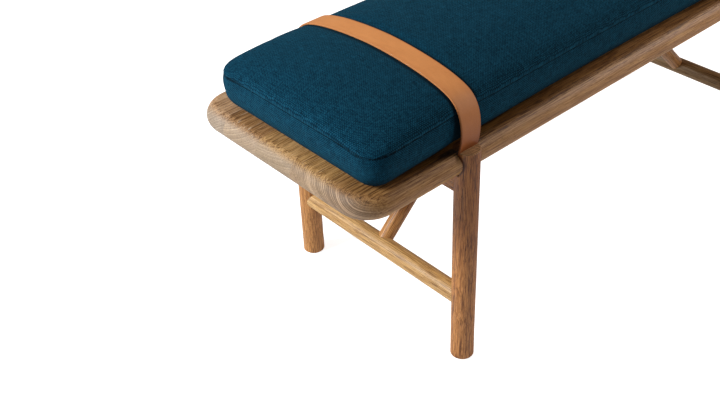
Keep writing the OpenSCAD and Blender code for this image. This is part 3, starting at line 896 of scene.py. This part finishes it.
def over_cushion(across, sizes):
    """A point of the strap's middle line over the cushion, and its slope."""
    half = side_at(STRAP_X, 0, sizes)
    full = sizes.cushion_crown * end_fall(STRAP_X) - sizes.strap_dent

    def section(u):
        return Vector((0, CUSHION_Y + u * half, SEAT_TOP + SEAM_HEIGHT + full * crown(u)))

    step = 0.0005
    slope = (section(across + step) - section(across - step)).normalized()
    return section(across) + Vector((0, -slope.z, slope.y)) * STRAP_LIFT, slope


def strap_points(sizes):
    """The strap's middle line from one slot to the other, over the cushion, in the plane of its own x. Each
    flank is straight in the slot and then a Bezier curve up to the cushion's top."""
    flanks = []
    for side in (-1, 1):
        foot = Vector((0, side * SLOT_Y, SEAT_TOP))
        bow = 3 * MM + 0.36 * side * CUSHION_Y
        head, slope = over_cushion(side * STRAP_LEAVES, sizes)
        one = foot + Vector((0, side * bow, 28 * MM))
        two = head + side * slope * 25 * MM
        line = [Vector((0, side * SLOT_Y, SEAT_TOP - drop * MM)) for drop in (36, 27, 18, 9)]
        for t in (k / 28 for k in range(29)):
            s = 1 - t
            line.append(foot * s**3 + one * 3 * t * s**2 + two * 3 * t * t * s + head * t**3)
        flanks.append(line)
    over = [over_cushion(STRAP_LEAVES * (k / 40 - 1), sizes)[0] for k in range(1, 80)]
    return flanks[0] + over + flanks[1][::-1]


def run_length(line):
    return sum((b - a).length for a, b in zip(line, line[1:]))


def path_curve(name, line, tilt=0.0, dimensions="3D"):
    """A curve for the Curve modifier, through a list of points."""
    data = assign(bpy.data.curves.new(name, "CURVE"), dimensions=dimensions, twist_mode="MINIMUM")
    spline = data.splines.new("POLY")
    spline.points.add(len(line) - 1)
    for point, co in zip(spline.points, line):
        point.co = (*co, 1)
        point.tilt = tilt
    return linked(name, data)


def flat_grid(name, columns, rows, width, length, middle):
    """A flat grid in X and Y, with its flat pattern in metres."""
    alone()
    bpy.ops.mesh.primitive_grid_add(x_subdivisions=columns, y_subdivisions=rows, size=1)
    grid = assign(named(name), scale=(width, length, 1), location=middle)
    settle(grid)
    layer = grid.data.uv_layers[0]
    layer.name = "flat"
    for loop in grid.data.loops:
        layer.data[loop.index].uv = grid.data.vertices[loop.vertex_index].co.xy
    return grid


# ---- the zip and the fixings


def turned(name, profile, steps):
    """Turns a profile of (radius, height) points, in millimetres, round the Z axis."""
    profile = [(radius * MM, height * MM) for radius, height in profile]
    alone()
    bpy.ops.mesh.primitive_plane_add(size=1 * MM)
    piece = named(name)
    edit_whole(piece)
    bpy.ops.mesh.merge(type="CENTER")
    bpy.ops.transform.translate(value=(profile[0][0], 0, profile[0][1]))
    for (radius, height), (next_radius, next_height) in zip(profile, profile[1:]):
        step = (next_radius - radius, 0, next_height - height)
        bpy.ops.mesh.extrude_vertices_move(TRANSFORM_OT_translate={"value": step})
    bpy.ops.mesh.select_all(action="SELECT")
    bpy.ops.mesh.spin(steps=steps, angle=2 * math.pi, center=(0, 0, 0), axis=(0, 0, 1))
    bpy.ops.mesh.select_all(action="SELECT")
    bpy.ops.mesh.remove_doubles(threshold=1e-6)
    face_outwards()
    return piece


def block(name, size, middle=(0, 0, 0)):
    """A block to shape on, from a cube, with its size and middle in millimetres."""
    alone()
    bpy.ops.mesh.primitive_cube_add(size=1, location=[m * MM for m in middle])
    piece = named(name)
    piece.scale = [s * MM for s in size]
    settle(piece)
    return piece


def cut_with(piece, tool):
    """Takes one solid out of another and deletes the tool."""
    add_modifier(piece, "BOOLEAN", operation="DIFFERENCE", object=tool, solver="EXACT")
    apply_all(piece)
    bpy.data.objects.remove(tool)


def rod(name, radius, length, middle, turn=(0, 0, 0), sides=24):
    """A plain round bar, as a tool or as a start, in millimetres."""
    alone()
    at = {"location": [m * MM for m in middle], "rotation": turn}
    bpy.ops.mesh.primitive_cylinder_add(vertices=sides, radius=radius * MM, depth=length * MM, **at)
    piece = named(name)
    settle(piece)
    return piece


def eased(piece, width, segments=2):
    """Rounds a piece's edges a little and smooths its faces."""
    add_modifier(piece, "BEVEL", width=width, segments=segments, limit_method="ANGLE")
    apply_all(piece)
    smooth_by_angle(piece, 50)


def laid_along(piece, line):
    """Bends a piece that runs along X from 0 so that it follows a line in X and Y."""
    path = path_curve("back_path", line, dimensions="2D")
    add_modifier(piece, "CURVE", object=path, deform_axis="POS_X")
    apply_all(piece)
    bpy.data.objects.remove(path)


def repeated(piece, pitch, count):
    offset = {"use_relative_offset": False, "use_constant_offset": True}
    add_modifier(piece, "ARRAY", count=count, constant_offset_displace=(pitch, 0, 0), **offset)
    apply_all(piece)


# ---- operators


class BENCH_OT_stage(bpy.types.Operator):
    """Makes the camera, the lights and the pale floor"""

    bl_idname = "bench.stage"
    bl_label = "Stage"

    def execute(self, context):
        scene = context.scene
        lens = bpy.data.cameras.new("camera")
        assign(lens, lens=LENS, sensor_width=SENSOR, clip_start=0.05, clip_end=60)
        camera = linked("camera", lens)
        camera.matrix_world = (
            Matrix.Translation(CAMERA_AT)
            @ Matrix.Rotation(-HEADING, 4, "Z")
            @ Matrix.Rotation(math.pi / 2 - PITCH, 4, "X")
            @ Matrix.Rotation(ROLL, 4, "Z")
        )
        scene.camera = camera
        alone()
        bpy.ops.mesh.primitive_plane_add(size=30, location=(0, 0, 0))
        floor = named("floor")
        settle(floor)
        floor.data.materials.append(self.floor_finish(tuple(scene.bench_colours.floor)))
        lights = [
            ("key", (-2.5, 1.08, 1.62), (1.1, 0.95), 89, (0.96, 0.985, 1.0)),
            ("over", (-1.0, 0.6, 1.9), (1.0, 0.8), 4, (1.0, 0.98, 0.96)),
            ("far_side", (0.9, -1.3, 0.8), (0.7, 0.5), 2.0, (1.0, 0.84, 0.76)),
            ("far_rim", (1.5, -0.70, 1.55), (0.5, 0.4), 11, (1.0, 0.82, 0.66)),
            ("far_edge", (1.5, -1.20, 1.25), (0.4, 0.4), 8, (1.0, 0.90, 0.90)),
        ]
        for name, place, size, power, colour in lights:
            lamp = bpy.data.lights.new(name, "AREA")
            assign(lamp, color=colour, shape="RECTANGLE", size=size[0], size_y=size[1], energy=power)
            aim = Vector(LIGHTS_AIM) - Vector(place)
            turn = aim.to_track_quat("-Z", "Y").to_euler()
            assign(linked(name, lamp), location=place, rotation_euler=turn)
        world = bpy.data.worlds.new("studio")
        world.use_nodes = True
        inputs = world.node_tree.nodes["Background"].inputs
        inputs["Color"].default_value = (0.95, 0.94, 1, 1)
        inputs["Strength"].default_value = 0.165
        scene.world = world
        scene.view_settings.view_transform = "Standard"
        return {"FINISHED"}

    def floor_finish(self, pale):
        """Bright to the camera, and a darker paper to the light that it throws back on the bench."""
        make = Finish("pale_floor")
        colour = make.mix(make.noise(make.place(), 90.0, 3.0), darker(pale, 0.985), pale)
        papers = [
            (colour, 0.8, (1, 1, 1, 1), 0.8),
            ((*darker(pale, 0.9), 1), 0.9, (1, 0.97, 0.98, 1), 0.1),
        ]
        sockets = ("Base Color", "Roughness", "Emission Color", "Emission Strength")
        seen, bounce = (make.node("BsdfPrincipled", {}, dict(zip(sockets, paper))) for paper in papers)
        eye = make.node("LightPath", {}, {}, "Is Camera Ray")
        make.show(make.node("MixShader", {}, {0: eye, 1: bounce, 2: seen}))
        return make.material


class BENCH_OT_oak(bpy.types.Operator):
    """Gives every oak part its own piece of wood, with the rings where its log had them"""

    bl_idname = "bench.oak"
    bl_label = "Oak"

    def execute(self, context):
        colours = context.scene.bench_colours
        seat, leg, stretcher = (tuple(c) for c in (colours.seat_oak, colours.leg_oak, colours.stretcher_oak))
        quarter = math.pi / 2
        # The front two staves are one wood with a darker heart, and lie by the same pith
        front_pith, red_heart = (0, -0.205, 0.490), (0.66, 0.60, 0.54)
        # Place, pith, width of a ring in millimetres, tone and seed
        staves = [
            ("front", front_pith, 2.9, (0.99, 0.96, 0.87), 1.0),
            ("front_inner", front_pith, 2.9, (1.01, 1.00, 0.90), 1.0),
            ("middle", (0, 0.030, 0.620), 3.6, (1.04, 1.05, 1.03), 3.1),
            ("back_inner", (0, 0.170, 0.560), 3.4, (0.77, 0.71, 0.70), 4.7),
            ("back", (0, 0.060, 0.270), 3.6, (0.98, 1.02, 1.32), 5.9),
        ]
        # The end grain's tone and how strong its arcs are, then the flames, the dashes and the heart
        cuts = [
            ((0.66, 0.80, 1.40), 1.1, 0.3, 0.15, red_heart),
            ((0.69, 0.83, 1.46), 1.1, 0.3, 0.2, red_heart),
            ((0.76, 0.98, 1.72), 0.22, 0.25, 0.25, None),
            ((1.16, 1.63, 2.90), 0.2, 1.2, 0.8, None),
            ((0.81, 1.07, 1.60), 0.3, 0.6, 0.5, None),
        ]
        # Painted light and shade on the staves: by the cushion on the front, round the legs' laps on both
        stains = {"front": (by_cushion, by_leg), "back": (by_leg,)}
        for (place, pith, ring, tone, seed), (cut_by, arcs_by, flame, dashes, heart) in zip(staves, cuts):
            turn = (0, math.radians(0.5 * math.sin(seed * 3)), math.radians(0.6 * math.cos(seed * 5)))
            look = {"contrast": 1.3, "calm": 0.42, "flame": flame, "dashes": dashes, "heart": heart}
            look.update(lines=0.9 if heart else 0.6, arcs_by=arcs_by, cut_by=cut_by)
            look["stains"] = stains.get(place, ())
            self.dress("seat_stave_" + place, toned(seat, tone), pith, turn, ring, seed, **look)
        for end, side in ((-1, -1), (-1, 1), (1, -1), (1, 1)):
            name = f"leg_{'back' if side > 0 else 'front'}_{'right' if end > 0 else 'left'}"
            tone = (1.12, 1.24, 1.36) if name == "leg_back_left" else (1, 1, 1)
            pith = (end * LEG_X - 0.034, side * LEG_Y + 0.022 * side, 0)
            turn = (math.radians(1.1 * side), -quarter + math.radians(0.8 * end), 0)
            seed = 7 + end * 1.3 + side * 2.9
            look = {"pores": 1.6, "sway_by": 0.012, "lines": 0.5, "cut_by": (1.05, 1.5, 2.6)}
            look.update(contrast=0.60 if side > 0 else 0.95, flame=0.8 if side > 0 else 1.25)
            # Painted shade on the legs' upper parts under the board, and by the board's rounded edge
            look["stains"] = (painted_shade_higher_up((0.69, 0.59, 0.44), 0.12, 0.30), by_board)
            self.dress(name, toned(leg, tone), pith, turn, 3.4, seed, **look)
        # The far end's stretcher and brace stand in the photograph's shade
        for end, name in ((-1, "left"), (1, "right")):
            middle = darker(stretcher, 0.40 if end > 0 else 1.0)
            pith, turn = (end * LEG_X + 0.05, 0, 0.150), (0, math.radians(0.5), quarter + math.radians(0.4))
            self.dress("stretcher_" + name, middle, pith, turn, 2.3, 11 + end, contrast=0.65, pores=0.8)
            pith, turn = (end * LEG_X - 0.03, 0, 0.30), (0, math.radians(0.4), quarter)
            self.dress("top_rail_" + name, darker(leg, 0.78), pith, turn, 2.4, 14 + end)
            middle = darker(toned(leg, (1.16, 1.34, 1.55)), 0.72 if end > 0 else 1.0)
            pith, turn = (end * 0.40, 0.03, 0.118), (0, math.radians(-90 - end * 46), math.radians(0.8))
            # Painted shade on the near brace's upper part, under the board
            stain = (painted_shade_higher_up((0.34, 0.24, 0.19), 0.135, 0.20),) if end < 0 else ()
            self.dress("brace_" + name, middle, pith, turn, 2.5, 17 + end, stains=stain)
        self.dress("lap_dowels", darker(seat, 1.05), (0, 0.19, 0.38), (0, 0, quarter), 2, 20)
        return {"FINISHED"}

    def dress(self, name, *wood, **look):
        node = NODES[name]
        node.data.materials.clear()
        node.data.materials.append(oak(name + "_oak", *wood, **look))


class BENCH_OT_cushion(bpy.types.Operator):
    """Makes the cushion: its stuffed cover with a sewn edge, and the foam inside"""

    bl_idname = "bench.cushion"
    bl_label = "Cushion"

    def execute(self, context):
        sizes, colours = context.scene.bench_sizes, context.scene.bench_colours
        cover = cushion_mesh("cushion_cover", sizes)
        puff(cover, sizes)
        add_modifier(cover, "SUBSURF", levels=1, render_levels=1)
        apply_all(cover)
        sew(cover)
        material = cloth("teal_cloth", colours.cloth, sizes.thread)
        panels = ("cushion_top_panel", "cushion_side_band", "cushion_base_panel")
        finish_piece(cover, material, panels)
        foam = cushion_mesh("foam_block", sizes, shrink=5 * MM, step=16 * MM)
        finish_piece(foam, foam_finish("cut_foam"), ("cushion_foam",))
        return {"FINISHED"}


class BENCH_OT_straps(bpy.types.Operator):
    """Makes the two leather straps over the cushion"""

    bl_idname = "bench.straps"
    bl_label = "Straps"

    def execute(self, context):
        sizes, colours = context.scene.bench_sizes, context.scene.bench_colours
        width = sizes.strap_width
        material = leather("tan_leather", colours.leather, width / 2)
        line = strap_points(sizes)
        length = run_length(line)
        for end, name in ((-1, "left"), (1, "right")):
            strap = flat_grid("leather_strap_" + name, 14, 260, width, length, (0, length / 2, 0))
            add_modifier(strap, "SOLIDIFY", thickness=sizes.strap_thickness, offset=0)
            add_modifier(strap, "BEVEL", width=0.7 * MM, segments=3, limit_method="ANGLE")
            path = path_curve("strap_path", line, math.pi / 2)
            add_modifier(strap, "CURVE", object=path, deform_axis="POS_Y")
            apply_all(strap)
            bpy.data.objects.remove(path)
            strap.location = (end * STRAP_X, 0, 0)
            settle(strap)
            smooth_by_angle(strap, 50)
            finish_piece(strap, material, ("strap_" + name,))
        return {"FINISHED"}


class BENCH_OT_zip(bpy.types.Operator):
    """Makes the zip at the cushion's back: tape, teeth and slider"""

    bl_idname = "bench.zip"
    bl_label = "Zip"

    def execute(self, context):
        sizes, colours = context.scene.bench_sizes, context.scene.bench_colours
        length, half = sizes.zip_length, sizes.zip_length / 2
        steel = zinc("zip_steel")

        def along_back(piece, out):
            """Lays a piece along the cushion's back, at a distance out from its seam."""
            xs = [half * (k / 30 - 1) for k in range(61)]
            laid_along(piece, [Vector((x, CUSHION_Y + side_at(x, out, sizes), 0)) for x in xs])

        tape = self.tape(length)
        along_back(tape, 2.2 * MM)
        cover = bpy.data.objects["cushion_cover"]
        add_modifier(tape, "SHRINKWRAP", target=cover, wrap_mode="ABOVE_SURFACE", offset=0.6 * MM)
        add_modifier(tape, "SOLIDIFY", thickness=0.9 * MM, offset=0)
        apply_all(tape)
        woven = cloth("zip_tape_cloth", darker(colours.cloth, 0.8), 0.55 * MM, sewn=False)
        finish_piece(tape, woven, ("zip_tape",))

        for row, name in ((1, "upper"), (-1, "lower")):
            teeth = self.tooth("zip_teeth_" + name, row)
            repeated(teeth, TOOTH_PITCH, int((length - TEETH_ROOM) / TOOTH_PITCH))
            along_back(teeth, 2.5 * MM)
            finish_piece(teeth, steel)
            stitches = self.stitch("zip_stitches_" + name, row)
            repeated(stitches, STITCH_PITCH, int((length - STITCH_ROOM) / STITCH_PITCH))
            along_back(stitches, 2.6 * MM)
            finish_piece(stitches, yarn("zip_thread", darker(colours.cloth, 1.5)))

        for end, name in ((-1, "left"), (1, "right")):
            stop = block("zip_stop_" + name, (4, 2.4, 6.5))
            self.stand(stop, sizes, end * (half - STOP_FROM_END), 2.8 * MM)
            eased(stop, 0.5 * MM)
            finish_piece(stop, steel)
        for piece in (self.slider(), self.pull()):
            self.stand(piece, sizes, half - SLIDER_FROM_END, 3.1 * MM)
            finish_piece(piece, steel, ("zip_slider",))
        return {"FINISHED"}

    def stand(self, piece, sizes, x, out):
        """Moves a piece from the origin to its place on the cushion's back, turned to the cloth."""
        near, far = (side_at(x + d * MM, out, sizes) for d in (-5, 5))
        piece.location = (x, CUSHION_Y + (near + far) / 2, ZIP_Z)
        piece.rotation_euler = (0, 0, math.atan2(far - near, 10 * MM))
        settle(piece)

    def tape(self, length):
        """Both halves of the tape, with the gap that the teeth bridge."""
        tape = flat_grid("zip_tape_halves", 130, 13, length, ZIP_WIDTH, (length / 2, 0, 0))
        pick(tape, "FACE", lambda middle, normal: abs(middle.y) < 0.5 * MM)
        bpy.ops.mesh.delete(type="FACE")
        leave_edit()
        assign(tape, rotation_euler=(-math.pi / 2, 0, 0), location=(0, 0, ZIP_Z))
        settle(tape)
        return tape

    def tooth(self, name, row):
        """One tooth: a foot that clamps the tape's edge, a neck and a head that reaches past the middle."""
        tooth = block(name, (1.5, 2.0, 1.7), (0, 0, 1.75))
        for rise, grow in ((-0.8, 0.62), (-0.35, 1.35), (-0.45, 0.8)):
            pick(tooth, "FACE", lambda middle, normal: normal.z < -0.9)
            low = min(v.co.z for v in tooth.data.vertices)
            bpy.ops.mesh.extrude_region_move(TRANSFORM_OT_translate={"value": (0, 0, rise * MM)})
            bpy.ops.transform.resize(value=(grow, 1, 1), center_override=(0, 0, low))
            leave_edit()
        tooth.location = (8 * MM, 0, ZIP_Z)
        if row < 0:
            assign(tooth, rotation_euler=(math.pi, 0, 0), location=(8 * MM + TOOTH_PITCH / 2, 0, ZIP_Z))
        settle(tooth)
        eased(tooth, 0.12 * MM, 1)
        return tooth

    def stitch(self, name, row):
        """One stitch of the seam that holds the tape."""
        stitch = rod(name, 0.32, 2.7, (0, 0, 0), (0, math.pi / 2, 0), 8)
        pick(stitch, "FACE", lambda middle, normal: abs(normal.x) > 0.9)
        bpy.ops.mesh.inset(thickness=0.12 * MM, depth=0.1 * MM)
        leave_edit()
        stitch.location = (3 * MM, 0, ZIP_Z + row * STITCH_Z)
        settle(stitch)
        bpy.ops.object.shade_smooth()
        return stitch

    def slider(self):
        """The slider's tapered body with a raised rim, and the loop that holds the pull."""
        body = block("zip_slider_body", (11, 2.2, 8), (0, 1.1, 0))
        for side, width in ((-1, 0.72), (1, 1.22)):
            pick(body, "FACE", lambda middle, normal: normal.x * side > 0.9)
            bpy.ops.transform.resize(value=(1, 1, width), center_override=(side * 5.5 * MM, 0, 0))
            leave_edit()
        pick(body, "FACE", lambda middle, normal: normal.y > 0.9)
        bpy.ops.mesh.inset(thickness=0.9 * MM)
        bpy.ops.mesh.extrude_region_move(TRANSFORM_OT_translate={"value": (0, -0.5 * MM, 0)})
        leave_edit()
        eased(body, 0.3 * MM)
        alone()
        radii = {"major_radius": 2.1 * MM, "minor_radius": 0.5 * MM}
        at = (-0.4 * MM, 1.6 * MM, 0)
        bpy.ops.mesh.primitive_torus_add(major_segments=28, minor_segments=10, location=at, **radii)
        loop = named("zip_slider_loop")
        loop.scale = (1.35, 1, 1.5)
        settle(loop)
        bpy.ops.object.shade_smooth()
        join(body, loop)
        return body

    def pull(self):
        """The pull: a flat tab with rounded ends, an eye for the slider's loop and a long opening."""
        out = 3.25
        pull = block("zip_pull", (5.4, 0.9, 18), (0, out, -7.4))
        self.round_corners(pull, 2.2 * MM, 6)
        cut_with(pull, rod("eye", 1.3, 6, (0, out, -0.4), (math.pi / 2, 0, 0)))
        opening = block("opening", (2.0, 6, 7), (0, out, -10.5))
        self.round_corners(opening, 0.95 * MM, 4)
        cut_with(pull, opening)
        eased(pull, 0.15 * MM)
        return pull

    def round_corners(self, piece, radius, segments):
        """Rounds the edges that run along Y."""
        pick(piece, "EDGE", lambda middle, along: abs(along.y) > 0.9)
        bpy.ops.mesh.bevel(offset=radius, segments=segments)
        leave_edit()


class BENCH_OT_fixings(bpy.types.Operator):
    """Finishes the screws and washers under the seat"""

    bl_idname = "bench.fixings"
    bl_label = "Fixings"

    def execute(self, context):
        steel = zinc("zinc_steel")
        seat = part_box("seat_screws")[0].z + WASHER_RISE
        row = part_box("seat_stave_middle")[1].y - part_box("seat_stave_middle")[0].y
        places = [(end * STRAP_X, place * row, seat) for end in (-1, 1) for place in (-1, 0, 1)]
        models = ((self.screw(), "seat_screw_", "seat_screws"), (self.washer(), "washer_", "screw_washers"))
        for count, place in enumerate(places, 1):
            for made, name, node in models:
                piece = linked(f"{name}{count}", made.data.copy())
                piece.data.name = piece.name
                piece.location = place
                settle(piece)
                finish_piece(piece, steel, (node,))
        for made, name, node in models:
            bpy.data.objects.remove(made)
        return {"FINISHED"}

    def screw(self):
        """A pan-head wood screw with a hexagon socket and a rolled thread, head down from 0."""
        head = [(0, -3.2), (2.6, -3.2), (3.7, -2.95), (4.4, -2.3), (4.72, -1.3), (4.75, -0.25), (4.5, 0)]
        shank = [(2.15, 0), (2.15, 17), (1.8, 18), (1.8, 46.5), (0.9, 48.8), (0, 49.9)]
        screw = turned("screw", head + shank, 36)
        cut_with(screw, rod("socket", 1.5, 5, (0, 0, -3.7), sides=6))
        alone()
        bpy.ops.mesh.primitive_circle_add(vertices=3, radius=0.62 * MM, fill_type="NOTHING")
        thread = named("thread")
        assign(thread, rotation_euler=(math.pi / 2, -math.pi / 2, 0), location=(1.84 * MM, 0, 18.6 * MM))
        settle(thread)
        add_modifier(thread, "SCREW", screw_offset=2.2 * MM, iterations=12, steps=18, render_steps=18)
        apply_all(thread)
        edit_whole(thread)
        bpy.ops.mesh.fill_holes(sides=3)
        face_outwards()
        join(screw, thread)
        smooth_by_angle(screw, 35)
        return screw

    def washer(self):
        """A punched washer, rounded on the side that the punch came from."""
        hole = [(2.65, 1.2), (2.6, 1.1), (2.6, 0.15), (2.75, 0)]
        rim = [(7.1, 0), (7.4, 0.2), (7.5, 0.5), (7.5, 1.15), (7.45, 1.2)]
        washer = turned("washer", hole[2:] + rim + hole[:3], 48)
        smooth_by_angle(washer, 35)
        return washer


OPERATORS = (
    BENCH_OT_stage,
    BENCH_OT_oak,
    BENCH_OT_cushion,
    BENCH_OT_straps,
    BENCH_OT_zip,
    BENCH_OT_fixings,
)


class BENCH_PT_panel(bpy.types.Panel):
    """Lists the bench's operators and settings"""

    bl_idname = "BENCH_PT_panel"
    bl_label = "Bench"
    bl_space_type = "VIEW_3D"
    bl_region_type = "UI"
    bl_category = "Bench"

    def draw(self, context):
        for operator in OPERATORS:
            self.layout.operator(operator.bl_idname)
        for group in (context.scene.bench_sizes, context.scene.bench_colours):
            for name in group.__annotations__:
                self.layout.prop(group, name)


CLASSES = (BenchSizes, BenchColours, *OPERATORS, BENCH_PT_panel)


def register():
    for cls in CLASSES:
        bpy.utils.register_class(cls)
    bpy.types.Scene.bench_sizes = bpy.props.PointerProperty(type=BenchSizes)
    bpy.types.Scene.bench_colours = bpy.props.PointerProperty(type=BenchColours)


def unregister():
    del bpy.types.Scene.bench_colours
    del bpy.types.Scene.bench_sizes
    for cls in reversed(CLASSES):
        bpy.utils.unregister_class(cls)


def main():
    register()
    bpy.ops.bench.stage()
    bpy.ops.bench.oak()
    bpy.ops.bench.cushion()
    bpy.ops.bench.straps()
    bpy.ops.bench.zip()
    bpy.ops.bench.fixings()


if __name__ == "__main__":
    main()
